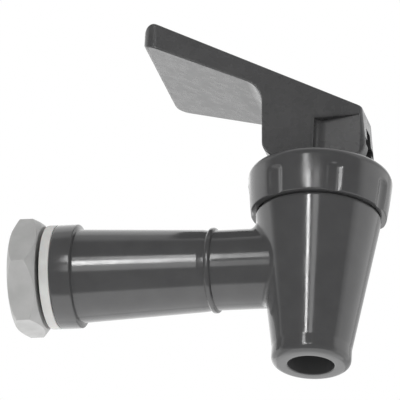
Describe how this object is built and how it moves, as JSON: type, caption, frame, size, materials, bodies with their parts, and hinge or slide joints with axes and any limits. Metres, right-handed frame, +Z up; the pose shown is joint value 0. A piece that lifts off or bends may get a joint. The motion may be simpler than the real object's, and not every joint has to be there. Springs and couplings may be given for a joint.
{
  "type": "coffee urn faucet",
  "caption": "Self-closing urn faucet: cone-shaped valve body on a long flanged shank, fluted bonnet cap and fan-shaped handle that lifts a sprung stem.",
  "frame": {"origin": "centre of the outlet's mouth, at the lip's lower face", "axes": "+Z up the cone's axis, which is the stem's axis; -X along the shank towards the urn's wall; the handle at rest lies in the XZ plane over the shank"},
  "size_m": [0.094, 0.0384, 0.0869],
  "materials": {
    "black_plastic": "moulded black plastic with a soft gloss",
    "cap_plastic": "moulded black plastic with a soft gloss",
    "handle_plastic": "moulded black plastic, finely grained",
    "white_rubber": "white food-grade rubber",
    "nut_plastic": "light grey moulded plastic",
    "clear_silicone": "milky silicone",
    "stem_plastic": "natural acetal",
    "steel": "drawn stainless steel"
  },
  "bodies": {
    "faucet": {"faucet_body": "black_plastic", "bonnet_cap": "cap_plastic", "sealing_washer": "white_rubber", "shank_nut": "nut_plastic", "seat_cup": "clear_silicone"},
    "spring_set": {"stem_spring": "steel", "spring_washer": "stem_plastic"},
    "lift_stem": {"stem": "stem_plastic"},
    "handle": {"lever_handle": "handle_plastic", "lever_pin": "steel"}
  },
  "joints": [
    {"name": "handle_swivel", "type": "hinge", "parent": "faucet", "child": "spring_set", "pos_m": [0, 0, 0.049], "axis": [0, 0, 1], "continuous": true},
    {"name": "stem_lift", "type": "slide", "parent": "spring_set", "child": "lift_stem", "axis": [0, 0, 1], "range_m": [0, 0.0039], "stiffness_N_per_m": 1800, "springref_m": -0.004, "deforming": ["stem_spring", "seat_cup"]},
    {"name": "handle_press", "type": "hinge", "parent": "lift_stem", "child": "handle", "pos_m": [0, 0, 0.0586], "axis": [0, -1, 0], "range_deg": [0, 30]}
  ],
  "couplings": [
    {"joint": "handle_press", "follows": "stem_lift", "rad_per_m": 133.33}
  ]
}
